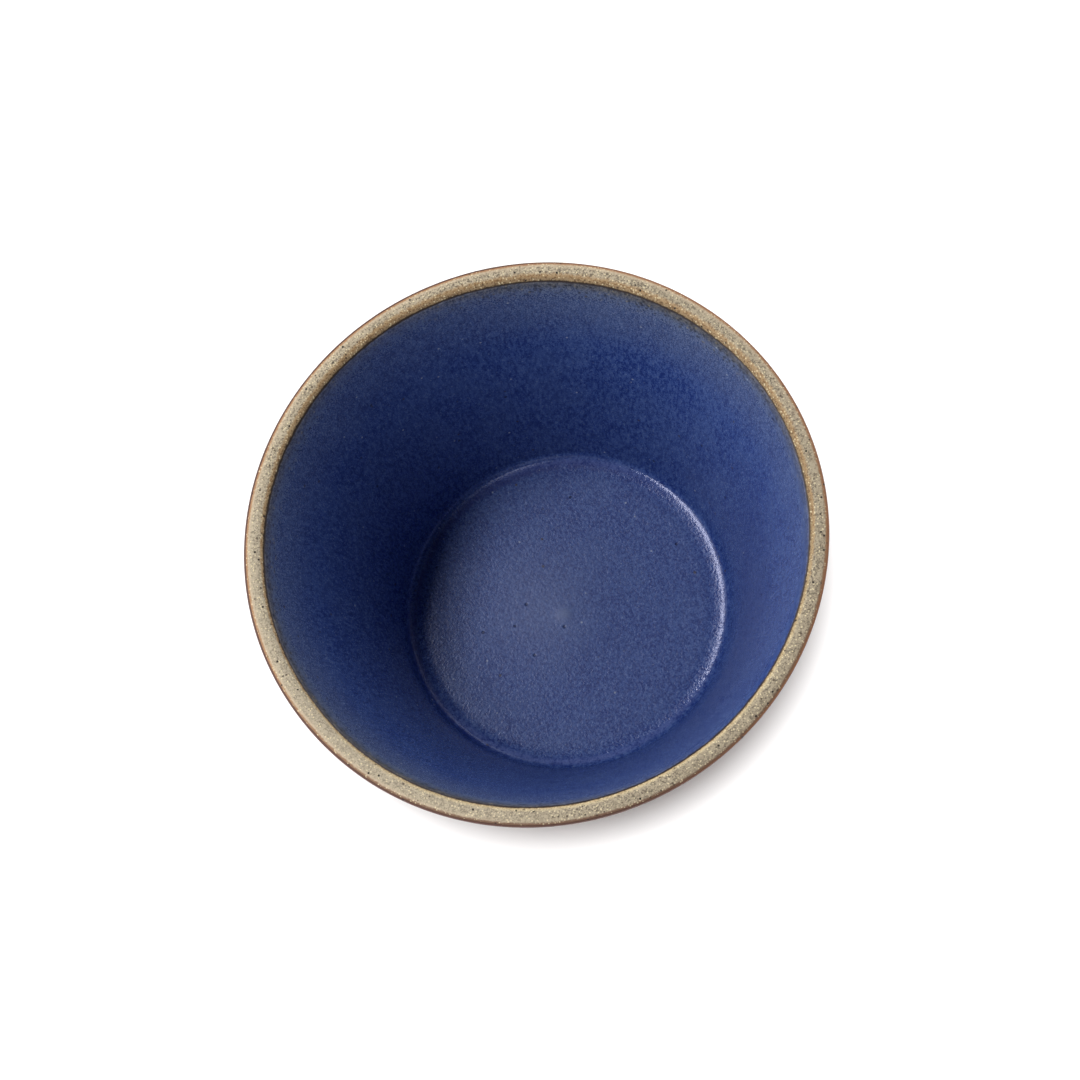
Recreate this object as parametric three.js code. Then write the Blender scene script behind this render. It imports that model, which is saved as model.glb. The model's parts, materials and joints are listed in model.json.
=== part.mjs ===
// Stoneware shaving mug: a straight-sided conical bowl without a handle, open at the top.
// Three bodies, all turned about the Z axis, with the origin on the table under the centre:
//   stoneware_body   one piece of fired clay: foot ring, base, wall and bare lip
//   interior_glaze   the fired coat on the floor and inner wall, up to the lip's inner edge
//   exterior_glaze   the fired coat on the outer wall, from the lip's outer edge to the foot
// Units are millimetres and +Z is up.

import * as THREE from 'three';

// Driving dimensions
const HEIGHT = 56;
const LIP_CORNER_RADIUS = 50.2; // where the outer wall's line meets the lip's top face
const LIP_WIDTH = 3.4; // from that corner to the inner wall's line
const OUTER_TAPER = 0.337; // radius gained for each millimetre of height
const INNER_TAPER = 0.342;
const INNER_DEPTH = 49; // from the lip's top to the glazed floor

// Foot ring and the recess inside it
const FOOT_OUTER_RADIUS = 29;
const FOOT_INNER_RADIUS = 25;
const FOOT_BEVEL_HEIGHT = 3.4;
const RECESS_RADIUS = 23.8;
const RECESS_HEIGHT = 1.6;

// Small rise that throwing leaves at the centre of the floor
const NUB_RADIUS = 1.7;
const NUB_TOP_RADIUS = 0.6;
const NUB_HEIGHT = 0.15;

// Rounded corners
const LIP_INNER_ROUND = 2;
const LIP_OUTER_ROUND = 0.9;
const FLOOR_ROUND = 3.35;
const FOOT_ROUND = 0.6;
const RECESS_ROUND = 0.8;

// Glaze coats
const COAT = 0.35;
const COAT_EDGE = 0.12; // thickness at an edge
const COAT_FEATHER = 1.8; // length over which a coat thins out to that edge
const COAT_GAP = 0.02; // hair's breadth between the coat's underside and the clay
const GLAZE_LINE_HEIGHT = 4.6; // lower edge of the exterior coat

// Facets
const AROUND = 64;
const ROUND_STEPS = 4;

// Points of an outline: x is the radius and y is the height.
const at = (radius, height) => new THREE.Vector2(radius, height);

const outerWallAt = (height) => at(LIP_CORNER_RADIUS - OUTER_TAPER * (HEIGHT - height), height);
const innerWallAt = (height) =>
  at(LIP_CORNER_RADIUS - LIP_WIDTH - INNER_TAPER * (HEIGHT - height), height);

// The arc that rounds the corner between two straight stretches, from the first to the second.
function roundCorner(before, corner, after, radius) {
  const back = before.clone().sub(corner).normalize();
  const ahead = after.clone().sub(corner).normalize();
  const half = Math.acos(back.dot(ahead)) / 2;
  const reach = radius / Math.tan(half);
  const start = corner.clone().addScaledVector(back, reach);
  const end = corner.clone().addScaledVector(ahead, reach);
  const towardsCentre = back.add(ahead).normalize();
  const centre = corner.clone().addScaledVector(towardsCentre, radius / Math.sin(half));
  const sense = Math.sign(start.clone().sub(centre).cross(end.clone().sub(centre)));
  const step = (sense * (Math.PI - 2 * half)) / ROUND_STEPS;
  return Array.from({ length: ROUND_STEPS + 1 }, (_, i) => start.clone().rotateAround(centre, i * step));
}

// The path moved to the right of its direction, by a distance given for each point.
function offsetPath(path, distances) {
  return path.map((point, i) => {
    const next = path[Math.min(i + 1, path.length - 1)];
    const last = path[Math.max(i - 1, 0)];
    const ahead = next.equals(point) ? point.clone().sub(last) : next.clone().sub(point);
    const behind = last.equals(point) ? ahead.clone() : point.clone().sub(last);
    const along = ahead.normalize().clone().add(behind.normalize()).normalize();
    const reach = distances[i] / along.dot(ahead);
    return at(point.x + along.y * reach, point.y - along.x * reach);
  });
}

// Thickness of a coat at each point of the path it covers, thinning at the ends that are edges.
function coatThickness(path, edges) {
  const travelled = [0];
  path.slice(1).forEach((point, i) => travelled.push(travelled[i] + point.distanceTo(path[i])));
  const total = travelled[travelled.length - 1];
  return travelled.map((distance) => {
    const fromStart = edges.start ? distance : COAT_FEATHER;
    const fromEnd = edges.end ? total - distance : COAT_FEATHER;
    const share = Math.min(1, fromStart / COAT_FEATHER, fromEnd / COAT_FEATHER);
    return THREE.MathUtils.lerp(COAT_EDGE, COAT, share);
  });
}

// The outline of a coat over a stretch of the clay's outline. It goes back along the underside
// and then forward along the surface, so a coat that ends on the axis also starts there.
function coatOutline(path, edges) {
  const surface = offsetPath(path, coatThickness(path, edges));
  const underside = offsetPath(path, path.map(() => COAT_GAP));
  return [...underside.reverse(), ...surface];
}

// A closed body turned about the Z axis from its outline.
function turned(name, outline, material) {
  const mesh = new THREE.Mesh(new THREE.LatheGeometry(outline, AROUND), material);
  mesh.name = name;
  mesh.rotation.x = Math.PI / 2;
  return mesh;
}

// The clay's outline, in four stretches that run out under the base, up the outside, over the
// lip and down the inside. The clay lies one coat's thickness behind the glazed faces.
const clayFloor = HEIGHT - INNER_DEPTH - COAT;
const recessCorner = at(RECESS_RADIUS, RECESS_HEIGHT);
const recessFoot = at(FOOT_INNER_RADIUS, 0);
const footCorner = at(FOOT_OUTER_RADIUS, 0);
const bevelTop = outerWallAt(FOOT_BEVEL_HEIGHT);
const glazeLine = outerWallAt(GLAZE_LINE_HEIGHT);
const lipOuterCorner = outerWallAt(HEIGHT);
const lipInnerCorner = innerWallAt(HEIGHT);
const floorCorner = innerWallAt(clayFloor);

const foot = [
  at(0, RECESS_HEIGHT),
  ...roundCorner(at(0, RECESS_HEIGHT), recessCorner, recessFoot, RECESS_ROUND),
  recessFoot,
  ...roundCorner(recessFoot, footCorner, bevelTop, FOOT_ROUND),
  bevelTop,
];

const lipOuterArc = roundCorner(glazeLine, lipOuterCorner, lipInnerCorner, LIP_OUTER_ROUND);
const lipInnerArc = roundCorner(lipOuterCorner, lipInnerCorner, floorCorner, LIP_INNER_ROUND);
const redEdge = ROUND_STEPS / 2; // how many steps round each arc its glaze's edge lies
const blueEdge = ROUND_STEPS - 1;

const outside = [
  glazeLine,
  outerWallAt(GLAZE_LINE_HEIGHT + COAT_FEATHER),
  outerWallAt(HEIGHT - LIP_OUTER_ROUND - COAT_FEATHER),
  ...lipOuterArc.slice(0, redEdge + 1),
];

const lip = [...lipOuterArc.slice(redEdge), ...lipInnerArc.slice(0, blueEdge + 1)];

const inside = [
  ...lipInnerArc.slice(blueEdge),
  innerWallAt(HEIGHT - LIP_INNER_ROUND - COAT_FEATHER),
  ...roundCorner(lipInnerCorner, floorCorner, at(0, clayFloor), FLOOR_ROUND),
  at(NUB_RADIUS, clayFloor),
  at(NUB_TOP_RADIUS, clayFloor + NUB_HEIGHT),
  at(0, clayFloor + NUB_HEIGHT),
];

const clay = new THREE.MeshStandardMaterial({ color: 0xa8977c, roughness: 0.9, metalness: 0 });
const blueGlaze = new THREE.MeshStandardMaterial({ color: 0x2f4279, roughness: 0.45, metalness: 0 });
const redGlaze = new THREE.MeshStandardMaterial({ color: 0x6b3a30, roughness: 0.4, metalness: 0 });

const interiorCoat = coatOutline(inside, { start: true, end: false });
const exteriorCoat = coatOutline(outside, { start: true, end: true });

const shavingMug = new THREE.Group();
shavingMug.add(
  turned('stoneware_body', [...foot, ...outside, ...lip.slice(1), ...inside.slice(1)], clay),
  turned('interior_glaze', interiorCoat, blueGlaze),
  turned('exterior_glaze', [...exteriorCoat, exteriorCoat[0].clone()], redGlaze),
);

export default shavingMug;
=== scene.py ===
"""Looks for the stoneware shaving mug: a dense turned mesh for the clay and for each glaze coat.

Lengths are in metres. The outline of every piece is a path of (radius, height) points, and a
piece is that path turned about the Z axis. Distances along a path are measured from the edges
of the two glazes, because that is what the colour of a thin glaze and of bare clay depends on.
"""

import json
import math

import bpy
import numpy as np
from mathutils import Matrix, Vector


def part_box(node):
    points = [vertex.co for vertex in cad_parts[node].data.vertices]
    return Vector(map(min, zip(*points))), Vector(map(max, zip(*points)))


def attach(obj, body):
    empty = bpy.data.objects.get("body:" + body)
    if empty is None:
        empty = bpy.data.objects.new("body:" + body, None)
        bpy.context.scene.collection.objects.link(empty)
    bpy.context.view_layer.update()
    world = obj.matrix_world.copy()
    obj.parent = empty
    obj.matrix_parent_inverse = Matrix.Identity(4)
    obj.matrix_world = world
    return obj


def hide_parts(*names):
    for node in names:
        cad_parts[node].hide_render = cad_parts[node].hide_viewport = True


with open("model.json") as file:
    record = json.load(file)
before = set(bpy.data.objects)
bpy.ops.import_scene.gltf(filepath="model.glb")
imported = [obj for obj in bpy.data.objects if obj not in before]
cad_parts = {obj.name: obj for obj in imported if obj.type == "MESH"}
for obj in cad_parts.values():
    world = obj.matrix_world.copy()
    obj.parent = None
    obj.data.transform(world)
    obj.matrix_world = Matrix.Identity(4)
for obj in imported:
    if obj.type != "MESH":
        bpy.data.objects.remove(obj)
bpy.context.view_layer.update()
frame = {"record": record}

MM = 0.001

# Sizes read from the frame
red_low, red_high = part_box("exterior_glaze")
mount_heights = {m["name"]: m["pos_m"][2] for m in frame["record"]["mounts"]}
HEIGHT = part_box("stoneware_body")[1].z
FLOOR_HEIGHT = mount_heights["soap_floor"]
GLAZE_LINE_HEIGHT = red_low.z

# Outline of the clay: the CAD model's, with a finer profile where the floor turns up
COAT = 0.35 * MM
LIP_OUTER_RADIUS = red_high.x + 0.18 * MM  # where the outer wall's line meets the lip's top
LIP_WIDTH = 3.3 * MM
OUTER_TAPER = 0.337
INNER_TAPER = 0.344
FOOT_OUTER_RADIUS = 29 * MM
FOOT_INNER_RADIUS = 25 * MM
FOOT_BEVEL_HEIGHT = 3.4 * MM
RECESS_RADIUS = 23.8 * MM
RECESS_HEIGHT = 1.6 * MM
FLOOR_EDGE = 28.0 * MM  # where the floor starts to rise towards the wall
FLOOR_EDGE_SLOPE = math.radians(15)
FLOOR_EDGE_ROUND = 8.2 * MM
FLOOR_ROUND = 2.0 * MM
FLOOR_TURN = 28.7 * MM  # where the glaze's surface turns up
LIP_OUTER_ROUND = 0.9 * MM
LIP_INNER_ROUND = 2.0 * MM
RECESS_ROUND = 0.8 * MM
FOOT_INNER_ROUND = 0.35 * MM
FOOT_OUTER_ROUND = 0.7 * MM
BEVEL_ROUND = 1.2 * MM

# Marks on the floor. A place is how far it is seen to the right of and above the floor's centre.
NUB_PLACE = (-0.65 * MM, -0.75 * MM)  # a small rise that throwing leaves
NUB_HEIGHT = 0.15 * MM
NUB_SPREAD = 0.85 * MM
WEAR_AND_GLOW_PLACE = (-4.8 * MM, 0.8 * MM)  # the middle of the patch that brushes have dulled most, which is also painted paler as a glow of light
WEAR_AND_GLOW_SPREAD = 10.5 * MM
FLOOR_PITS = ((-0.7 * MM, -3.1 * MM), (-7.7 * MM, 1.0 * MM), (-6.2 * MM, -8.3 * MM))
IRON_SPOTS = ((-4.6 * MM, 8.0 * MM), (23.3 * MM, 6.9 * MM), (-12.5 * MM, -12.0 * MM))
PALE_SPOTS = ((2.5 * MM, -2.3 * MM), (-9.0 * MM, 12.5 * MM), (8.5 * MM, -15.0 * MM))

# Dents in the lip: the side, in degrees around from the view's right; the depth, as a share of the
# radius; and the sharpness
NARROW_DENT = (217, 0.003, 16)
WIDE_DENT = (112, 0.0025, 8)

AROUND = 384  # columns of every turned mesh
SPARSE = 3 * MM  # point spacing on the clay where it is flat or lies under a glaze
TABLE_WIDTH = 8.0

# The camera looks into the mug, a little off its axis
VIEW_TILT = math.radians(17.75)  # between the line of sight and the mug's axis
VIEW_ROLL = math.radians(25.5)
VIEW_DISTANCE = 0.55
LENS = 107.93  # millimetres, on the sensor's width
SENSOR_WIDTH = 36
AIM_RIGHT = 1.26 * MM  # how far the camera's aim lies from the lip's centre
AIM_UP = -0.63 * MM
RIG_TURN = math.radians(180)  # turns the camera and the lights together about the mug's axis

# Lights: directions are degrees off the mug's axis, and degrees around it from the view's right
SOFTBOX_DIRECTION = (30, 173)
LIGHT_DISTANCE = 0.9
SOFTBOX_WIDTH, SOFTBOX_HEIGHT = 0.157, 0.655
SOFTBOX_RADIANCE = 17.2
FILL_DIRECTION = (14, 288)
FILL_WIDTH, FILL_HEIGHT = 0.16, 0.20
FILL_RADIANCE = 1.9
TABLE_LIGHT_DIRECTION = (9, 292)
TABLE_LIGHT_STRENGTH = 3.6
ROOM_EDGE = (55, 68)  # degrees off the axis at which the room starts, and is at its full radiance
ROOM_RADIANCE = 0.35
ROOM_WINDOW_TILT = 76
ROOM_WINDOW_EDGE = (42, 12)  # the same for a window, in degrees off its own middle
ROOM_WINDOWS = ((60, 2.4), (180, 2.45), (270, 1.1))  # degrees around, and radiance
TABLE_LIGHT_SPREAD = math.radians(10)


def view_axes():
    """The camera's right, up and backward directions in the mug's frame."""
    level_right = Vector((1, 0, 0))
    level_up = Vector((0, math.cos(VIEW_TILT), math.sin(VIEW_TILT)))
    right = math.cos(VIEW_ROLL) * level_right - math.sin(VIEW_ROLL) * level_up
    up = math.cos(VIEW_ROLL) * level_up + math.sin(VIEW_ROLL) * level_right
    back = right.cross(up)
    spin = Matrix.Rotation(RIG_TURN, 3, "Z")
    return spin @ right, spin @ up, spin @ back


# ---------------------------------------------------------------- paths and turned meshes


def point(radius, height):
    """A point of an outline."""
    return np.array((radius, height), float)


def outer_wall(height):
    """The point of the clay's outer wall at this height, as if the lip weren't rounded."""
    return point(LIP_OUTER_RADIUS - OUTER_TAPER * (HEIGHT - height), height)


def inner_wall(height):
    """The same for the inner wall."""
    return point(LIP_OUTER_RADIUS - LIP_WIDTH - INNER_TAPER * (HEIGHT - height), height)


def unit(vector):
    return vector / np.linalg.norm(vector)


def round_corner(before, corner, after, radius, steps=24):
    """The arc that rounds the corner between two straight stretches."""
    back, ahead = unit(before - corner), unit(after - corner)
    half = math.acos(np.clip(back @ ahead, -1, 1)) / 2
    start = corner + back * radius / math.tan(half)
    end = corner + ahead * radius / math.tan(half)
    centre = corner + unit(back + ahead) * radius / math.sin(half)
    first, last = start - centre, end - centre
    sense = math.copysign(1, first[0] * last[1] - first[1] * last[0])
    turns = np.linspace(0, sense * (math.pi - 2 * half), steps)
    sideways = point(-first[1], first[0])
    return [centre + math.cos(turn) * first + math.sin(turn) * sideways for turn in turns]


def travelled(path):
    """Distance of each point from the path's start."""
    steps = np.linalg.norm(np.diff(path, axis=0), axis=1)
    return np.concatenate([[0], np.cumsum(steps)])


def resample(path, spacing):
    """The same path with a point about every `spacing`, and its corners kept round."""
    path = np.array(path)
    path = path[np.concatenate([[True], np.linalg.norm(np.diff(path, axis=0), axis=1) > 1e-9])]
    along = travelled(path)
    count = max(2, round(along[-1] / spacing) + 1)
    at = np.linspace(0, along[-1], count)
    return np.stack([np.interp(at, along, path[:, 0]), np.interp(at, along, path[:, 1])], axis=1)


def right_hand_normals(path):
    """Unit normals that point to the right of the path's direction: out of the clay."""
    along = np.gradient(path, axis=0)
    along /= np.linalg.norm(along, axis=1, keepdims=True)
    return np.stack([along[:, 1], -along[:, 0]], axis=1)


def smoothstep(value, low, high):
    """0 at `low` and 1 at `high`, with a smooth rise between."""
    t = np.clip((value - low) / (high - low), 0, 1)
    return t * t * (3 - 2 * t)


ANGLES = np.linspace(0, 2 * math.pi, AROUND, endpoint=False)


def waves(angles, seed, orders, falloff=1.0):
    """A smooth random function of the angle, between about -1 and 1, that closes on itself."""
    rng = np.random.default_rng(seed)
    total, weight = np.zeros(np.shape(angles)), 0.0
    for order in orders:
        strength = order ** -falloff * rng.uniform(0.5, 1.0)
        total = total + strength * np.cos(order * angles + rng.uniform(0, 2 * math.pi))
        weight += strength ** 2
    return total / (2 * math.sqrt(weight))


def view_side(around):
    """1 on the side of the mug that is `around` degrees from the view's right, -1 on the other."""
    return np.cos(ANGLES - (math.radians(around) - VIEW_ROLL + RIG_TURN))


def out_of_round(radius, height):
    """The slight unevenness of a hand-thrown mug, which grows towards the lip."""
    share = height / HEIGHT
    oval = 0.0016 + 0.0022 * (2 * view_side(5) ** 2 - 1) + 0.0008 * waves(ANGLES, 11, (3, 4, 5))
    for side, depth, sharpness in (NARROW_DENT, WIDE_DENT):
        oval = oval - depth * np.clip(view_side(side), 0, 1) ** sharpness
    return (
        radius * (1 + share * oval),
        height + 0.10 * MM * share ** 3 * waves(ANGLES, 12, (2, 3, 5)),
    )


def floor_place(right_by, up_by):
    """The point of the floor, as x and y, that is seen this far right of and above its centre."""
    right, up, _ = view_axes()
    return np.linalg.solve([right.xy, up.xy], (right_by, up_by))


def turned_object(name, radius, height, ring, marks):
    """A mesh from rows of radii and heights, one row for each point of the outline.

    A ring's last row joins its first. Otherwise the outline starts and ends on the axis, and
    its first and last rows shrink to one vertex each.
    """
    radius, height = out_of_round(radius, height)
    rows = len(radius)
    xyz = np.stack([radius * np.cos(ANGLES), radius * np.sin(ANGLES), height], axis=-1)
    index = np.arange(rows * AROUND).reshape(rows, AROUND)
    if ring:
        index = np.concatenate([index, index[:1]])
    else:
        index[0], index[-1] = index[0, 0], index[-1, 0]
    below, above = index[:-1], index[1:]
    quads = np.stack(
        [below, np.roll(below, -1, axis=1), np.roll(above, -1, axis=1), above], axis=-1
    ).reshape(-1, 4)
    faces = [tuple(dict.fromkeys(q)) for q in quads.tolist()]
    used = sorted({v for f in faces for v in f})
    renumber = {old: new for new, old in enumerate(used)}
    mesh = bpy.data.meshes.new(name)
    points = xyz.reshape(-1, 3)[used]
    mesh.from_pydata(points.tolist(), [], [tuple(renumber[v] for v in f) for f in faces])
    for key, value in marks.items():
        layer = mesh.attributes.new(key, "FLOAT", "POINT")
        layer.data.foreach_set("value", value.reshape(-1)[used].astype(np.float32))
    mesh.polygons.foreach_set("use_smooth", [True] * len(mesh.polygons))
    mesh.update()
    piece = bpy.data.objects.new(name, mesh)
    bpy.context.scene.collection.objects.link(piece)
    return piece


# ---------------------------------------------------------------- the clay's outline

recess_corner = point(RECESS_RADIUS, RECESS_HEIGHT)
recess_foot = point(FOOT_INNER_RADIUS, 0)
foot_corner = point(FOOT_OUTER_RADIUS, 0)
bevel_top = outer_wall(FOOT_BEVEL_HEIGHT)
lip_outer_corner = outer_wall(HEIGHT)
lip_inner_corner = inner_wall(HEIGHT)
clay_floor = FLOOR_HEIGHT - COAT
floor_edge = point(FLOOR_EDGE, clay_floor)
rise = (inner_wall(clay_floor)[0] - FLOOR_EDGE) / (1 / math.tan(FLOOR_EDGE_SLOPE) - INNER_TAPER)
floor_corner = inner_wall(clay_floor + rise)
outer_edge_point = outer_wall(GLAZE_LINE_HEIGHT)

lip_outer_arc = round_corner(bevel_top, lip_outer_corner, lip_inner_corner, LIP_OUTER_ROUND)
lip_inner_arc = round_corner(lip_outer_corner, lip_inner_corner, floor_corner, LIP_INNER_ROUND)
BLUE_EDGE_STEP = round(0.84 * len(lip_inner_arc))  # the blue glaze starts this far round that arc
RED_EDGE_STEP = round(0.38 * len(lip_outer_arc))  # and the red glaze ends this far round its own

foot_path = [
    point(0, RECESS_HEIGHT),
    *round_corner(point(0, RECESS_HEIGHT), recess_corner, recess_foot, RECESS_ROUND),
    *round_corner(recess_corner, recess_foot, foot_corner, FOOT_INNER_ROUND),
    *round_corner(recess_foot, foot_corner, bevel_top, FOOT_OUTER_ROUND),
    *round_corner(foot_corner, bevel_top, lip_outer_corner, BEVEL_ROUND),
    outer_edge_point,
]
outside_path = [outer_edge_point, *lip_outer_arc[: RED_EDGE_STEP + 1]]
lip_path = [*lip_outer_arc[RED_EDGE_STEP:], *lip_inner_arc[:BLUE_EDGE_STEP]]
inside_path = [
    *lip_inner_arc[BLUE_EDGE_STEP - 1 :],
    *round_corner(lip_inner_corner, floor_corner, floor_edge, FLOOR_ROUND),
    *round_corner(floor_corner, floor_edge, point(0, clay_floor), FLOOR_EDGE_ROUND),
    point(0, clay_floor),
]


def joined(*stretches):
    """Stretches that follow each other, as one path without the doubled points."""
    return np.concatenate([stretches[0], *(s[1:] for s in stretches[1:])])


def make_clay():
    """The clay, which stores how far each point is from each glaze's edge, in millimetres."""
    foot = joined(resample(foot_path[:2], 2 * MM), resample(foot_path[1:], 0.16 * MM))
    outside = resample(outside_path, SPARSE)
    lip = resample(lip_path, 0.08 * MM)
    arc_end = len(lip_inner_arc) - BLUE_EDGE_STEP
    inside = joined(
        resample(inside_path[: arc_end + 1], 0.1 * MM),
        resample(inside_path[arc_end : arc_end + 2], SPARSE),
        resample(inside_path[arc_end + 1 : -1], 0.3 * MM),
        resample(inside_path[-2:], SPARSE),
    )
    outline = joined(foot, outside, lip, inside)
    along = travelled(outline)[:, None]
    low_line = along[len(foot) - 1]
    red_edge = along[len(foot) + len(outside) - 2]
    blue_edge = along[len(foot) + len(outside) + len(lip) - 3]
    # The flashing reaches further on the upper side, where it is also painted shade of the lip's inner
    # rounding
    flash_and_shade_reach = 0.60 + 0.75 * smoothstep(view_side(80), -0.5, 0.8)
    from_blue = blue_edge - along + blue_edge_wander()
    marks = {
        "from_blue": from_blue / MM,
        "flash": from_blue / MM / flash_and_shade_reach,
        "from_red": (along - red_edge + red_edge_wander()) / MM,
        "from_low_red": (low_line - along + low_edge_wander()) / MM,
        # Sides of the lip: painted shade on one, painted light on another, and a painted highlight with
        # painted shade on a third
        "darker_side": np.broadcast_to(0.5 + 0.5 * view_side(325), from_blue.shape),
        "paler_side": np.broadcast_to(smoothstep(view_side(215), 0.2, 1), from_blue.shape),
        "ridge_side": np.broadcast_to(smoothstep(view_side(285), 0.1, 0.9), from_blue.shape),
    }
    radius = np.repeat(outline[:, :1], AROUND, axis=1)
    height = np.repeat(outline[:, 1:], AROUND, axis=1)
    return turned_object("mug_body", radius, height, False, marks)


def blue_edge_wander():
    """How far the edge strays from its line at each angle; positive leaves more of the lip bare."""
    ragged = waves(ANGLES, 21, (2, 3, 5, 7, 9, 13, 21, 34, 55), 0.35)
    bulge = 0.22 * np.clip(view_side(NARROW_DENT[0]), 0, 1) ** 30
    return MM * (0.05 + 0.11 * ragged + bulge - 0.26 * np.clip(view_side(325), 0, 1))


def red_edge_wander():
    """The same for the red-brown glaze's edge on the lip."""
    ragged = waves(ANGLES, 22, (3, 4, 6, 11, 17, 29, 47), 0.35)
    return MM * (0.08 * ragged - 0.18 - 0.17 * view_side(150))


def low_edge_wander():
    """The same for the red-brown glaze's lower edge, where positive bares more of the foot."""
    return 0.35 * MM * waves(ANGLES, 23, (2, 3, 4, 7, 12, 19, 33), 0.6)


# ---------------------------------------------------------------- the glaze coats

EMBED = 0.06 * MM  # how far a coat's edge dips into the clay
OVERRUN = 0.6 * MM  # how far a coat's mesh runs on under the clay's surface past its edge


def coat_thickness(from_edge):
    """A rounded edge, then a coat that thickens slowly to its full depth."""
    rolled = 1 - np.exp(-np.clip(from_edge, 0, None) / (0.16 * MM))
    coat = COAT * (0.5 * rolled + 0.5 * smoothstep(from_edge, 0, 2.6 * MM))
    return np.where(from_edge > 0, coat, np.maximum(from_edge * 0.6, -EMBED))


def offset(path, distance):
    """The path moved out of the clay; a point on the axis stays on it."""
    normals = right_hand_normals(path)
    normals[path[:, 0] < 1e-6] = (0, 1)
    return path[:, :1] + normals[:, :1] * distance, path[:, 1:] + normals[:, 1:] * distance


def closed_coat(path, thickness):
    """Rows of radii and heights: back along the coat's underside, then forward along its surface."""
    sparse = path[sorted({*range(0, len(path), 6), len(path) - 1})]
    under_radius, under_height = offset(sparse, np.full((len(sparse), AROUND), -2 * EMBED))
    radius, height = offset(path, thickness)
    return (
        np.concatenate([under_radius[::-1], radius]),
        np.concatenate([under_height[::-1], height]),
        len(sparse),
    )


def on_surface(under_rows, values):
    """A mark's values for a coat's surface, with zeros for its underside."""
    return np.concatenate([np.zeros((under_rows, AROUND)), values])


def make_interior_glaze():
    """The coat on the floor and the inner wall, out to its edge on the lip."""
    lip_end = resample(lip_path, 0.06 * MM)
    over = lip_end[travelled(lip_end) > travelled(lip_end)[-1] - OVERRUN]
    arc_end = len(lip_inner_arc) - BLUE_EDGE_STEP
    below_edge = inner_wall(inside_path[arc_end][1] - 2.5 * MM)
    edge = resample([*inside_path[: arc_end + 1], below_edge], 0.13 * MM)
    wall = resample([below_edge, inside_path[arc_end + 1]], 0.5 * MM)
    fillet = resample(inside_path[arc_end + 1 : -1], 0.14 * MM)
    floor = resample(inside_path[-2:], 0.5 * MM)
    path = joined(over, edge, wall, fillet, floor)
    from_edge = travelled(path)[:, None] - travelled(over)[-1] - blue_edge_wander()
    thickness = coat_thickness(from_edge) + throwing_rings(path, from_edge)
    radius, height, under_rows = closed_coat(path, thickness)
    height[under_rows:] += floor_relief(radius[under_rows:])
    marks = {
        "from_edge": on_surface(under_rows, from_edge / MM),
        "thinness": on_surface(under_rows, np.repeat(rim_thinness()[None, :], len(path), axis=0)),
        "pool": on_surface(under_rows, pooling_and_shade(path)),
        "crest": on_surface(under_rows, crest(path)),
        "worn": on_surface(under_rows, floor_wear_and_glow(path[:, :1])),
    }
    return turned_object("mug_interior_glaze", radius, height, False, marks)


def pooling_and_shade(path):
    """How much glaze has gathered in a ring round the floor, and a patch of painted shade low on one
    side of the wall.

    The ring lies nearer the centre on one side, where it is also painted shade on the floor's rising
    edge that faces away from the light, and is faint where the floor's edge catches light.
    """
    radius, height = path[:, :1], path[:, 1:]
    inward = view_side(105)
    start = FLOOR_TURN - 1.3 * MM * inward
    ring = smoothstep(radius, start - 0.8 * MM, start + 0.3 * MM)
    ring = ring * (1 - smoothstep(height, 7.2 * MM, 9.5 * MM))
    ring = ring * (1 - smoothstep(inward, 0, 0.5) * smoothstep(radius, 28.5 * MM, 29.0 * MM))
    ring = ring * (0.1 + 0.9 * smoothstep(-view_side(340), -0.5, 0.5))
    # Painted shade low on one side of the wall
    run = smoothstep(height, 10 * MM, 18 * MM) * (1 - smoothstep(height, 26 * MM, 42 * MM))
    return ring + 0.5 * run * smoothstep(view_side(350), 0.7, 1)


def crest(path):
    """How much paler the glaze has broken on the line where the floor turns up, with a painted highlight
    along it: least on one side, less where the lamp's reflection already lies, and more low on the
    right.
    """
    line = np.exp(-(((path[:, :1] - FLOOR_TURN) / (0.65 * MM)) ** 2)) * (path[:, 1:] < 9 * MM)
    fade = smoothstep(-view_side(172), -0.85, -0.45)
    fade = fade * (1 - 0.65 * smoothstep(view_side(350), 0.1, 0.7))
    return line * (fade + 0.5 * smoothstep(view_side(302), 0.75, 1))


def floor_wear_and_glow(radius):
    """How much brushes have dulled the floor, and how much painted glow of light it has: most in a patch
    beside its centre, with a painted highlight on the nub.
    """
    middle_x, middle_y = floor_place(*WEAR_AND_GLOW_PLACE)
    x, y = radius * np.cos(ANGLES), radius * np.sin(ANGLES)
    patch = np.exp(-(np.hypot(x - middle_x, y - middle_y) / WEAR_AND_GLOW_SPREAD) ** 2)
    nub_x, nub_y = floor_place(*NUB_PLACE)
    nub = np.exp(-(np.hypot(x - nub_x, y - nub_y) / (1.1 * MM)) ** 2)
    return 0.55 * (1 - smoothstep(radius, 25.5 * MM, 28 * MM)) + 0.85 * patch + 2.5 * nub


def rim_thinness():
    """How much the glaze has run thin under the lip, at each angle: most at two opposite sides."""
    two_sides = 2 * view_side(57) ** 2 - 1
    drift = 0.18 * view_side(165) + 0.10 * waves(ANGLES, 24, (3, 4, 5, 7))
    return np.clip(0.50 + 0.28 * two_sides + drift, 0, 1)


def throwing_rings(path, from_edge):
    """Shallow rings that the potter's fingers leave on the wall, on a slow spiral."""
    height = path[:, 1:] / MM
    turn = ANGLES / (2 * math.pi)
    rise = 0.5 * np.sin(2 * math.pi * (height / 3.1 + turn)) * (0.6 + 0.4 * np.sin(height / 4.7))
    rise = rise + 0.3 * np.sin(2 * math.pi * (height - 1.3 * waves(ANGLES, 31, (1, 2, 3))) / 1.9)
    fade = smoothstep(from_edge, 1 * MM, 5 * MM) * smoothstep(height, 10, 16)
    return 0.022 * MM * rise * fade


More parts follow.
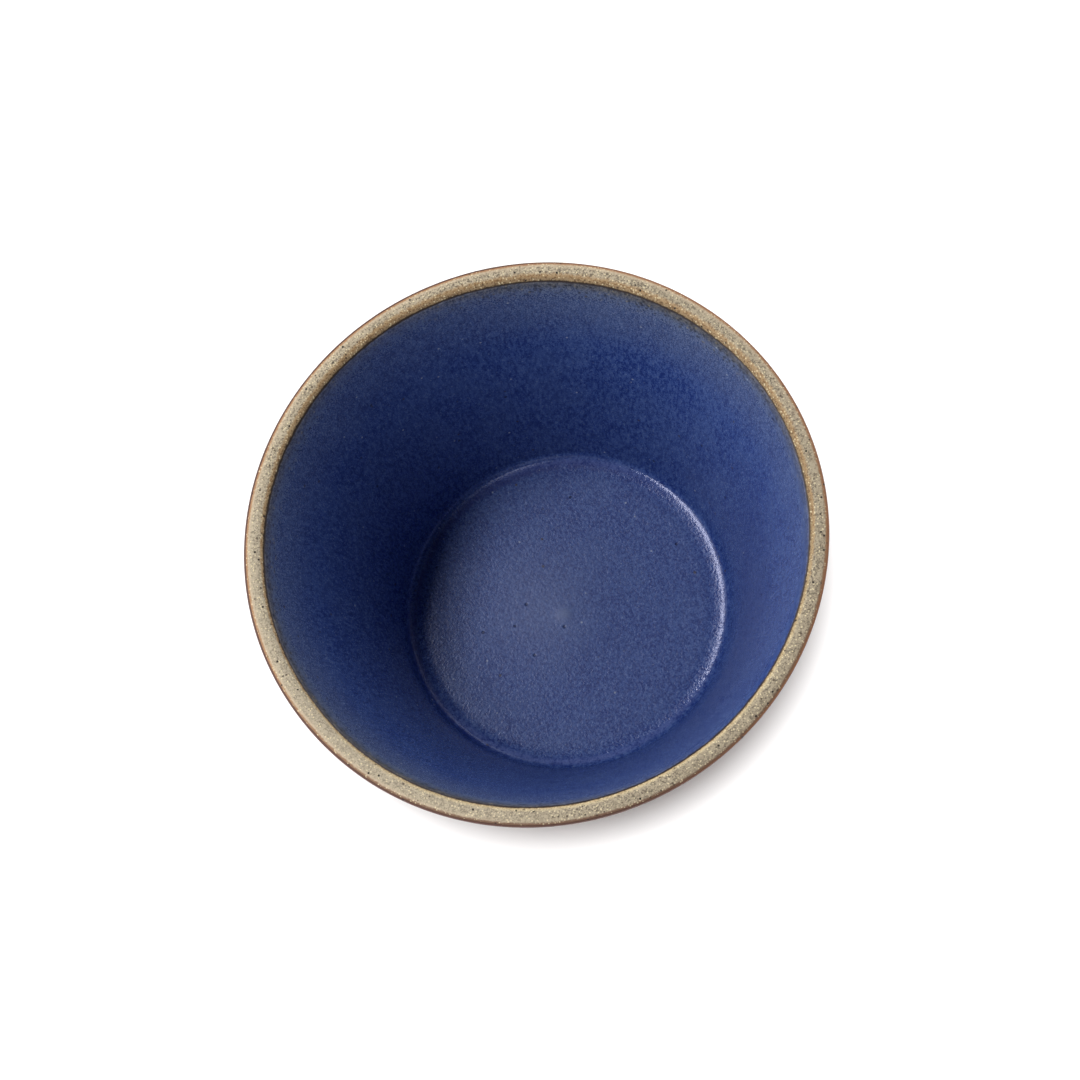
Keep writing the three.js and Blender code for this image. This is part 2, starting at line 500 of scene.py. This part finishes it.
def floor_relief(radius):
    """The floor's nub, a low spiral from throwing, a faint groove round it and a slow dishing."""
    nub_x, nub_y = floor_place(*NUB_PLACE)
    x, y = radius * np.cos(ANGLES), radius * np.sin(ANGLES)
    rise = NUB_HEIGHT * np.exp(-((np.hypot(x - nub_x, y - nub_y) / NUB_SPREAD) ** 2) / 2)
    rise -= 0.03 * MM * np.exp(-(((radius - 26.6 * MM) / (0.9 * MM)) ** 2))
    spiral = np.sin(2 * math.pi * radius / (2.9 * MM) + ANGLES)
    rise += 0.004 * MM * spiral * smoothstep(radius, 1 * MM, 6 * MM)
    dish, mound = (radius / (27 * MM)) ** 2 - 1, np.exp(-((radius / (8.5 * MM)) ** 2))
    rise += 0.16 * MM * (dish + mound)
    return rise * (1 - smoothstep(radius, 26.6 * MM, 28.0 * MM))


def make_exterior_glaze():
    """The coat on the outer wall, from just above the foot to its edge on the lip."""
    low_end = resample(foot_path, 0.08 * MM)
    under_low = low_end[travelled(low_end) > travelled(low_end)[-1] - 2 * OVERRUN]
    low_part = resample([outer_edge_point, outer_wall(outer_edge_point[1] + 3 * MM)], 0.2 * MM)
    wall = resample([low_part[-1], outside_path[1]], 0.5 * MM)
    arc = resample(outside_path[1:], 0.06 * MM)
    lip_start = resample(lip_path, 0.06 * MM)
    over = lip_start[travelled(lip_start) < OVERRUN]
    path = joined(under_low, low_part, wall, arc, over)
    along = travelled(path)[:, None]
    from_low = along - travelled(under_low)[-1] - low_edge_wander()
    from_lip = along[-len(over)] - along - red_edge_wander()
    rings = turning_rings(path, np.minimum(from_low, from_lip))
    thickness = coat_thickness(np.minimum(from_low, from_lip)) + 0.03 * MM * rings
    radius, height, under_rows = closed_coat(path, thickness)
    thin_side = np.repeat(smoothstep(view_side(15), 0, 0.8)[None, :], len(path), axis=0)
    marks = {
        "from_edge": on_surface(under_rows, from_lip / MM),
        "from_low": on_surface(under_rows, from_low / MM),
        "relief": on_surface(under_rows, rings),
        "thin_side": on_surface(under_rows, thin_side),
    }
    return turned_object("mug_exterior_glaze", radius, height, True, marks)


def turning_rings(path, from_edge):
    """Faint horizontal rings left on the outside by throwing, as heights of about -1 to 1."""
    height = path[:, 1:] / MM
    turn = ANGLES / (2 * math.pi)
    rise = np.sin(2 * math.pi * (height / 4.2 + turn)) * (0.6 + 0.4 * np.cos(height / 6.1))
    rise = rise + 0.4 * np.sin(2 * math.pi * (height + 0.9 * waves(ANGLES, 41, (1, 2, 4))) / 1.9)
    return rise * smoothstep(from_edge, 1 * MM, 5 * MM)


# ---------------------------------------------------------------- materials


class Surface:
    """A node material being put together. Each method adds a node and gives back its output.

    Sizes of patterns are in millimetres, in the mug's own coordinates.
    """

    def __init__(self, name):
        self.material = bpy.data.materials.new(name)
        self.material.use_nodes = True
        tree = self.material.node_tree
        self.nodes, self.links = tree.nodes, tree.links
        self.shader = self.nodes["Principled BSDF"]
        self.position = self.nodes.new("ShaderNodeTexCoord").outputs["Object"]

    def feed(self, socket, value):
        """Links a node's output to a socket, or sets a number or a colour on it."""
        if isinstance(value, bpy.types.NodeSocket):
            self.links.new(value, socket)
        elif socket.type == "RGBA":
            socket.default_value = (*value, 1)
        else:
            socket.default_value = value

    def shade(self, colour, roughness):
        self.feed(self.shader.inputs["Base Color"], colour)
        self.feed(self.shader.inputs["Roughness"], roughness)

    def math(self, operation, first, second=0.0):
        node = self.nodes.new("ShaderNodeMath")
        node.operation = operation
        self.feed(node.inputs[0], first)
        self.feed(node.inputs[1], second)
        return node.outputs[0]

    def times(self, first, second):
        return self.math("MULTIPLY", first, second)

    def plus(self, first, second):
        return self.math("ADD", first, second)

    def ramp(self, value, low, high, start=0.0, end=1.0):
        """A smooth step from `start` at `low` to `end` at `high`."""
        node = self.nodes.new("ShaderNodeMapRange")
        node.interpolation_type = "SMOOTHSTEP"
        numbers = {"Value": value, "From Min": low, "From Max": high, "To Min": start, "To Max": end}
        for name, number in numbers.items():
            self.feed(node.inputs[name], number)
        return node.outputs["Result"]

    def mix(self, share, first, second):
        node = self.nodes.new("ShaderNodeMix")
        node.data_type = "RGBA"
        colours = [s for s in node.inputs if s.type == "RGBA"]
        self.feed(node.inputs["Factor"], share)
        self.feed(colours[0], first)
        self.feed(colours[1], second)
        return next(s for s in node.outputs if s.type == "RGBA")

    def scaled(self, size, seed):
        """The position in units of `size`, moved by the seed so that patterns differ."""
        node = self.nodes.new("ShaderNodeVectorMath")
        node.operation = "MULTIPLY_ADD"
        size = size if isinstance(size, tuple) else (size, size, size)
        self.feed(node.inputs[0], self.position)
        self.feed(node.inputs[1], tuple(1 / (MM * s) for s in size))
        self.feed(node.inputs[2], (7.31 * seed, 3.77 * seed, 5.19 * seed))
        return node.outputs[0]

    def noise(self, size, seed, detail=2.0, roughness=0.5):
        node = self.nodes.new("ShaderNodeTexNoise")
        self.feed(node.inputs["Vector"], self.scaled(size, seed))
        self.feed(node.inputs["Scale"], 1.0)
        self.feed(node.inputs["Detail"], detail)
        self.feed(node.inputs["Roughness"], roughness)
        return node.outputs[0]

    def stray(self, size, seed, reach, roughness=0.5):
        """How far a ragged edge strays from its line, up to half of `reach` either way."""
        noise = self.noise(size, seed, 3, roughness)
        return self.times(self.math("SUBTRACT", noise, 0.5), reach)

    def cells(self, size, seed):
        """Distance to the nearest scattered point, as a share of `size`, and a number for each point."""
        node = self.nodes.new("ShaderNodeTexVoronoi")
        self.feed(node.inputs["Vector"], self.scaled(size, seed))
        self.feed(node.inputs["Scale"], 1.0)
        split = self.nodes.new("ShaderNodeSeparateColor")
        self.links.new(node.outputs["Color"], split.inputs[0])
        return node.outputs["Distance"], split.outputs[0]

    def spots(self, size, radius, share, seed, softness=0.35):
        """Scattered round spots: 1 inside, 0 outside. Only a share of the points has one."""
        distance, number = self.cells(size, seed)
        inside = self.ramp(distance, radius * (1 + softness) / size, radius * (1 - softness) / size)
        return self.times(inside, self.math("LESS_THAN", number, share))

    def with_floor_spots(self, spots, places, radius, softness=0.6):
        """The same spots with one more at each of these places on the floor."""
        for place in places:
            node = self.nodes.new("ShaderNodeVectorMath")
            node.operation = "DISTANCE"
            self.feed(node.inputs[0], self.position)
            self.feed(node.inputs[1], (*floor_place(*place), FLOOR_HEIGHT))
            far, near = radius * MM * (1 + softness), radius * MM * (1 - softness)
            spots = self.math("MAXIMUM", spots, self.ramp(node.outputs["Value"], far, near))
        return spots

    def stored(self, name):
        """One of the mesh's marks."""
        node = self.nodes.new("ShaderNodeAttribute")
        node.attribute_name = name
        return node.outputs["Fac"]

    def bump(self, height, depth):
        node = self.nodes.new("ShaderNodeBump")
        self.feed(node.inputs["Height"], height)
        self.feed(node.inputs["Distance"], depth * MM)
        self.feed(self.shader.inputs["Normal"], node.outputs["Normal"])


def bare_stoneware():
    """Speckled beige clay, toasted brown beside each glaze."""
    s = Surface("bare_stoneware")
    blue, red, low_red = s.stored("from_blue"), s.stored("from_red"), s.stored("from_low_red")
    _, number = s.cells(0.24, 1)
    fine = s.noise(0.20, 2, 3, 0.7)
    cloud = s.noise(5.0, 3, 2)
    grit = s.plus(s.times(number, 0.45), s.times(fine, 1.0))
    colour = s.mix(s.ramp(grit, 0.46, 0.84), (0.120, 0.096, 0.066), (0.56, 0.47, 0.335))
    colour = s.mix(s.times(s.ramp(cloud, 0.35, 0.7), 0.25), colour, (0.37, 0.31, 0.21))
    blotch = s.ramp(s.noise(0.9, 11, 3, 0.7), 0.46, 0.66)
    colour = s.mix(s.times(blotch, 0.22), colour, (0.235, 0.165, 0.110))
    # Painted shade on one side of the lip's top and painted light on the other, for light that falls
    # unevenly on it
    colour = s.mix(s.times(s.stored("darker_side"), 0.30), colour, (0.165, 0.135, 0.092))
    colour = s.mix(s.times(s.stored("paler_side"), 0.30), colour, (0.60, 0.52, 0.39))

    # Brown flashing beside the blue glaze, which reaches further on the upper side as painted shade of
    # the lip's inner rounding, and a paler ridge next to it on one side, a painted highlight where that
    # rounding faces the light
    ragged = s.plus(s.stored("flash"), s.stray(0.6, 4, 0.9))
    flash = s.mix(s.ramp(ragged, 0.30, 1.10), (0.145, 0.075, 0.028), (0.345, 0.190, 0.072))
    flash = s.mix(s.times(s.ramp(grit, 0.52, 0.80), 0.40), flash, (0.56, 0.41, 0.22))
    flash = s.mix(s.times(s.ramp(grit, 0.60, 0.44), 0.35), flash, (0.060, 0.038, 0.020))
    colour = s.mix(s.times(s.ramp(ragged, 1.40, 0.75), 0.92), colour, flash)
    near = s.plus(blue, s.stray(0.5, 12, 0.6))
    band = s.times(s.ramp(near, 0.25, 0.45), s.ramp(near, 1.3, 0.75))
    ridge = s.times(band, s.stored("ridge_side"))
    colour = s.mix(s.times(ridge, s.ramp(grit, 0.45, 0.75, 0.25, 0.70)), colour, (0.66, 0.53, 0.31))

    # A pale band, strongest on the lit side as a painted highlight on the outer rounding, and then a
    # toasted line beside the red-brown glaze, darker on the lower side as painted shade
    outer = s.plus(red, s.stray(0.4, 5, 0.5))
    pale = s.times(s.ramp(outer, 1.15, 0.55), s.ramp(s.stored("darker_side"), 1.0, 0.4, 0.15, 0.7))
    colour = s.mix(pale, colour, (0.62, 0.49, 0.34))
    toasted = s.mix(s.stored("ridge_side"), (0.33, 0.150, 0.058), (0.150, 0.065, 0.034))
    colour = s.mix(s.times(s.ramp(outer, 0.60, 0.22), 0.88), colour, toasted)

    grog = s.spots(0.46, 0.13, 0.55, 10, 0.5)
    colour = s.mix(s.times(grog, 0.7), colour, (0.90, 0.78, 0.50))
    brink = s.plus(blue, s.stray(0.6, 4, 0.5))
    colour = s.mix(s.ramp(brink, 0.34, 0.10), colour, (0.030, 0.018, 0.010))

    # The foot, which lies more than 45 mm below the upper edge of the red-brown glaze
    toast = s.plus(low_red, s.stray(1.6, 6, 2.2))
    under = s.ramp(red, -30.0, -45.0)
    colour = s.mix(s.times(under, 0.28), colour, (0.34, 0.23, 0.13))
    colour = s.mix(s.times(s.times(s.ramp(toast, 1.6, 0.1), under), 0.65), colour, (0.27, 0.12, 0.05))

    pits = s.spots(1.3, 0.19, 0.4, 7)
    iron = s.spots(1.5, 0.20, 0.4, 8, 0.5)
    colour = s.mix(s.times(iron, 0.85), colour, (0.055, 0.03, 0.018))
    colour = s.mix(pits, colour, (0.02, 0.014, 0.01))
    s.shade(colour, s.ramp(fine, 0.3, 0.7, 0.72, 0.92))
    relief = s.plus(s.times(grit, 0.5), s.times(s.noise(0.16, 9, 1), 0.3))
    s.bump(s.math("SUBTRACT", relief, s.times(pits, 2.0)), 0.05)
    return s.material


def blue_satin_glaze():
    """Mottled cobalt satin glaze, grey and olive where it thins out under the lip."""
    s = Surface("blue_satin_glaze")
    edge = s.stored("from_edge")
    mottle = s.noise((0.58, 0.58, 1.7), 1, 4, 0.78)
    fine = s.noise(0.26, 2, 2, 0.6)
    cloud = s.noise((7.0, 7.0, 9.0), 3, 3)
    streak = s.noise((1.3, 1.3, 6.0), 4, 2)
    tone = s.plus(s.times(mottle, 0.68), s.plus(s.times(fine, 0.22), s.times(streak, 0.10)))
    colour = s.mix(s.ramp(tone, 0.41, 0.57), (0.011, 0.029, 0.160), (0.050, 0.095, 0.290))
    colour = s.mix(s.times(s.ramp(tone, 0.53, 0.64), 0.6), colour, (0.110, 0.165, 0.335))
    colour = s.mix(s.times(s.ramp(cloud, 0.40, 0.68), 0.24), colour, (0.070, 0.118, 0.290))
    colour = s.mix(s.times(s.ramp(cloud, 0.48, 0.30), 0.12), colour, (0.014, 0.034, 0.165))
    dark_specks = s.spots(0.85, 0.20, 0.5, 5, 0.6)
    light_flecks = s.spots(0.95, 0.13, 0.4, 11, 0.6)
    colour = s.mix(s.times(dark_specks, 0.7), colour, (0.010, 0.024, 0.140))
    colour = s.mix(s.times(light_flecks, 0.5), colour, (0.170, 0.220, 0.360))
    # Darker blue where the glaze has pooled, and painted shade at the floor's edge on one side and low
    # on the wall
    pool = s.times(s.stored("pool"), s.ramp(s.noise(1.3, 12, 3, 0.7), 0.30, 0.54))
    colour = s.mix(s.times(pool, 0.85), colour, (0.008, 0.022, 0.150))
    crest, worn = s.stored("crest"), s.stored("worn")
    # Paler glaze where it breaks on the floor's turn, which also paints a highlight along that line
    colour = s.mix(s.times(crest, s.ramp(tone, 0.36, 0.56, 0.15, 0.62)), colour, (0.125, 0.160, 0.380))
    # The paler colour is a painted glow of light on the floor beside its centre and a painted highlight
    # on the nub
    colour = s.mix(s.times(worn, 0.24), colour, (0.145, 0.185, 0.320))

    thinness = s.stored("thinness")
    # Grey where it is thin, then olive, then a speckled and nearly black edge
    wander = s.stray(1.4, 6, 3.2, 0.6)
    thin = s.plus(edge, wander)
    grey = s.mix(s.ramp(fine, 0.36, 0.62), (0.042, 0.060, 0.105), (0.185, 0.220, 0.300))
    colour = s.mix(s.times(s.ramp(thin, 19.0, 4.0), s.times(thinness, 0.62)), colour, grey)
    colour = s.mix(s.times(s.ramp(thin, 5.5, 0.4), s.times(thinness, 0.85)), colour, grey)
    olive = s.mix(s.ramp(tone, 0.40, 0.62), (0.026, 0.024, 0.018), (0.150, 0.125, 0.070))
    brink = s.ramp(s.plus(edge, s.times(wander, 0.4)), 2.2, 0.4)
    colour = s.mix(s.times(brink, s.times(thinness, 0.92)), colour, olive)
    breaking = s.times(s.ramp(thin, 4.6, 1.6), thinness)
    flecks = s.times(s.spots(1.1, 0.22, 0.5, 14, 0.5), breaking)
    colour = s.mix(s.times(flecks, 0.7), colour, (0.30, 0.245, 0.13))
    specks = s.times(s.spots(0.8, 0.27, 0.7, 13, 0.5), breaking)
    colour = s.mix(specks, colour, (0.012, 0.010, 0.010))
    black = s.ramp(s.plus(edge, s.times(wander, 0.12)), 0.28, 0.05)
    colour = s.mix(black, colour, (0.022, 0.014, 0.010))

    pinholes = s.with_floor_spots(s.spots(2.8, 0.26, 0.07, 27, 0.3), FLOOR_PITS, 0.30)
    iron = s.with_floor_spots(s.spots(2.8, 0.24, 0.16, 8, 0.5), IRON_SPOTS, 0.27)
    pale = s.with_floor_spots(s.spots(2.4, 0.17, 0.22, 9, 0.5), PALE_SPOTS, 0.19)
    colour = s.mix(s.times(iron, 0.8), colour, (0.045, 0.030, 0.018))
    colour = s.mix(s.times(pale, 0.6), colour, (0.45, 0.50, 0.60))
    colour = s.mix(s.times(pinholes, 0.85), colour, (0.012, 0.018, 0.060))
    rough = s.plus(s.ramp(fine, 0.3, 0.7, 0.20, 0.28), s.ramp(edge, 5.0, 0.0, 0.0, 0.16))
    rough = s.plus(rough, s.plus(s.times(worn, 0.11), s.times(s.stored("pool"), 0.12)))
    rough = s.plus(rough, s.times(crest, -0.22))
    s.shade(colour, rough)
    s.shader.inputs["Specular Tint"].default_value = (0.76, 0.78, 1.0, 1)
    peel = s.noise(1.3, 10, 2)
    grain = s.times(s.noise(0.5, 15, 1), 1.2)
    height = s.plus(s.plus(s.times(fine, 0.6), grain), s.times(peel, 0.7))
    height = s.times(height, s.ramp(crest, 0.0, 1.0, 1.0, 0.5))
    s.bump(s.math("SUBTRACT", height, s.times(pinholes, 2.2)), 0.035)
    return s.material


def red_brown_satin_glaze():
    """Iron red-brown satin glaze that turns rust orange where it is thin."""
    s = Surface("red_brown_satin_glaze")
    edge, low, relief = s.stored("from_edge"), s.stored("from_low"), s.stored("relief")
    mottle = s.noise((0.7, 0.7, 0.5), 1, 3, 0.62)
    fine = s.noise(0.28, 2, 2, 0.6)
    cloud = s.noise((9.0, 9.0, 5.0), 3, 3)
    tone = s.plus(s.times(mottle, 0.6), s.times(fine, 0.4))
    colour = s.mix(s.ramp(tone, 0.40, 0.56), (0.058, 0.017, 0.013), (0.135, 0.040, 0.026))
    colour = s.mix(s.times(s.ramp(tone, 0.53, 0.66), 0.8), colour, (0.25, 0.100, 0.070))
    colour = s.mix(s.times(s.ramp(cloud, 0.42, 0.70), 0.4), colour, (0.165, 0.056, 0.044))
    colour = s.mix(s.times(s.ramp(relief, 0.2, 1.2), 0.24), colour, (0.26, 0.090, 0.045))
    specks = s.spots(1.6, 0.34, 0.5, 5, 0.6)
    colour = s.mix(s.times(specks, 0.75), colour, (0.035, 0.012, 0.010))

    # Both edges: thin and paler at the lip, pooled and darker just above the foot
    wander = s.stray(1.1, 6, 2.0, 0.6)
    thin = s.plus(edge, wander)
    colour = s.mix(s.times(s.ramp(thin, 2.6, 0.2), 0.5), colour, (0.135, 0.050, 0.040))
    edge_colour = s.mix(s.stored("thin_side"), (0.085, 0.032, 0.018), (0.26, 0.105, 0.040))
    colour = s.mix(s.ramp(s.plus(edge, s.times(wander, 0.15)), 0.55, 0.15), colour, edge_colour)
    pooled = s.times(s.ramp(s.plus(low, wander), 4.5, 1.2), s.ramp(low, 0.3, 1.0))
    colour = s.mix(s.times(pooled, 0.55), colour, (0.055, 0.016, 0.014))
    colour = s.mix(s.ramp(s.plus(low, s.times(wander, 0.2)), 0.6, 0.1), colour, (0.27, 0.10, 0.035))

    pinholes = s.spots(2.4, 0.22, 0.5, 7, 0.3)
    colour = s.mix(pinholes, colour, (0.02, 0.008, 0.006))
    rough = s.plus(s.ramp(fine, 0.3, 0.7, 0.36, 0.48), s.ramp(edge, 2.0, 0.0, 0.0, 0.2))
    s.shade(colour, rough)
    height = s.plus(s.times(fine, 0.5), s.times(s.noise(1.4, 10, 2), 0.9))
    s.bump(s.math("SUBTRACT", height, s.times(pinholes, 1.5)), 0.035)
    return s.material


def table_paper():
    """Plain white paper."""
    s = Surface("table_paper")
    s.shade((0.88, 0.88, 0.88), 0.9)
    return s.material


# ---------------------------------------------------------------- stage, light and camera


def make_camera():
    """The camera, aimed close to the middle of the lip."""
    right, up, back = view_axes()
    data = bpy.data.cameras.new("camera")
    data.lens, data.sensor_width = LENS, SENSOR_WIDTH
    data.clip_start, data.clip_end = 0.01, 20
    camera = bpy.data.objects.new("camera", data)
    bpy.context.scene.collection.objects.link(camera)
    aim = Vector((0, 0, HEIGHT)) + right * AIM_RIGHT + up * AIM_UP
    turn = Matrix((right, up, back)).transposed()
    camera.matrix_world = Matrix.Translation(aim + back * VIEW_DISTANCE) @ turn.to_4x4()
    bpy.context.scene.camera = camera


def from_above(tilt, around):
    """A direction `tilt` degrees off the mug's axis, on the side `around` of the view's right."""
    tilt, around = math.radians(tilt), math.radians(around) - VIEW_ROLL + RIG_TURN
    return Vector((math.sin(tilt) * math.cos(around), math.sin(tilt) * math.sin(around), math.cos(tilt)))


def only_on(lamp, pieces):
    """Light linking, so that a lamp shines on these pieces alone."""
    group = bpy.data.collections.new(lamp.name + "_shines_on")
    for piece in pieces:
        group.objects.link(piece)
    lamp.light_linking.receiver_collection = group


def make_area_light(name, pieces, direction, width, height, radiance):
    """A rectangular light that faces the mug's mouth, with its height along the view's up."""
    direction = from_above(*direction)
    data = bpy.data.lights.new(name, "AREA")
    data.shape, data.size, data.size_y = "RECTANGLE", width, height
    data.energy = radiance * math.pi * width * height
    lamp = bpy.data.objects.new(name, data)
    bpy.context.scene.collection.objects.link(lamp)
    up = view_axes()[1]
    across = up.cross(direction).normalized()
    turn = Matrix((across, direction.cross(across), direction)).transposed()
    place = Vector((0, 0, HEIGHT)) + direction * LIGHT_DISTANCE
    lamp.matrix_world = Matrix.Translation(place) @ turn.to_4x4()
    only_on(lamp, pieces)


def make_table_light(table):
    """Light for the white table alone, from beside the camera, so that the mug hides its shadow."""
    direction = from_above(*TABLE_LIGHT_DIRECTION)
    data = bpy.data.lights.new("table_light", "SUN")
    data.energy, data.angle = TABLE_LIGHT_STRENGTH, TABLE_LIGHT_SPREAD
    lamp = bpy.data.objects.new("table_light", data)
    bpy.context.scene.collection.objects.link(lamp)
    lamp.matrix_world = direction.to_track_quat("Z", "Y").to_matrix().to_4x4()
    only_on(lamp, [table])


def make_world():
    """A bright room all round, dark overhead; to the camera the room is plain white."""
    world = bpy.data.worlds.new("studio")
    world.use_nodes = True
    nodes, links = world.node_tree.nodes, world.node_tree.links
    direction = nodes.new("ShaderNodeTexCoord").outputs["Generated"]

    def facing(towards):
        """The cosine of the angle between the ray and this direction."""
        node = nodes.new("ShaderNodeVectorMath")
        node.operation = "DOT_PRODUCT"
        links.new(direction, node.inputs[0])
        node.inputs[1].default_value = towards
        return node.outputs["Value"]

    def between(value, start, full, strength):
        """No light at an angle of `start` degrees, and full strength at `full`."""
        low, high = math.cos(math.radians(start)), math.cos(math.radians(full))
        node = nodes.new("ShaderNodeMapRange")
        node.interpolation_type = "SMOOTHSTEP"
        links.new(value, node.inputs["Value"])
        node.inputs["From Min"].default_value, node.inputs["From Max"].default_value = low, high
        node.inputs["To Min"].default_value, node.inputs["To Max"].default_value = 0.0, strength
        return node.outputs["Result"]

    def total(first, second):
        node = nodes.new("ShaderNodeMath")
        links.new(first, node.inputs[0])
        links.new(second, node.inputs[1])
        return node.outputs[0]

    room = between(facing((0, 0, 1)), *ROOM_EDGE, ROOM_RADIANCE)
    for around, radiance in ROOM_WINDOWS:
        towards = from_above(ROOM_WINDOW_TILT, around)
        room = total(room, between(facing(towards), *ROOM_WINDOW_EDGE, radiance))
    rays = nodes.new("ShaderNodeLightPath")
    choice = nodes.new("ShaderNodeMix")
    choice.data_type = "FLOAT"
    links.new(rays.outputs["Is Camera Ray"], choice.inputs["Factor"])
    links.new(room, choice.inputs["A"])
    choice.inputs["B"].default_value = 1.0
    links.new(choice.outputs["Result"], nodes["Background"].inputs["Strength"])
    nodes["Background"].inputs["Color"].default_value = (1, 1, 1, 1)
    bpy.context.scene.world = world


def make_table():
    """A flat table at the foot's height."""
    half = TABLE_WIDTH / 2
    corners = [(-half, -half, 0), (half, -half, 0), (half, half, 0), (-half, half, 0)]
    mesh = bpy.data.meshes.new("table")
    mesh.from_pydata(corners, [], [(0, 1, 2, 3)])
    table = bpy.data.objects.new("table", mesh)
    mesh.materials.append(table_paper())
    bpy.context.scene.collection.objects.link(table)
    return table


def finish_piece(piece, node, material):
    """Gives a piece its material, hangs it on the root body and hides the CAD node it stands for."""
    piece.data.materials.append(material)
    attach(piece, "root")
    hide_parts(node)
    return piece


make_camera()
make_world()
mug = [
    finish_piece(make_clay(), "stoneware_body", bare_stoneware()),
    finish_piece(make_interior_glaze(), "interior_glaze", blue_satin_glaze()),
    finish_piece(
        make_exterior_glaze(), "exterior_glaze", red_brown_satin_glaze()
    ),
]
make_area_light("softbox", mug, SOFTBOX_DIRECTION, SOFTBOX_WIDTH, SOFTBOX_HEIGHT, SOFTBOX_RADIANCE)
make_area_light("fill", mug, FILL_DIRECTION, FILL_WIDTH, FILL_HEIGHT, FILL_RADIANCE)
make_table_light(make_table())
bpy.context.scene.view_settings.view_transform = "Standard"
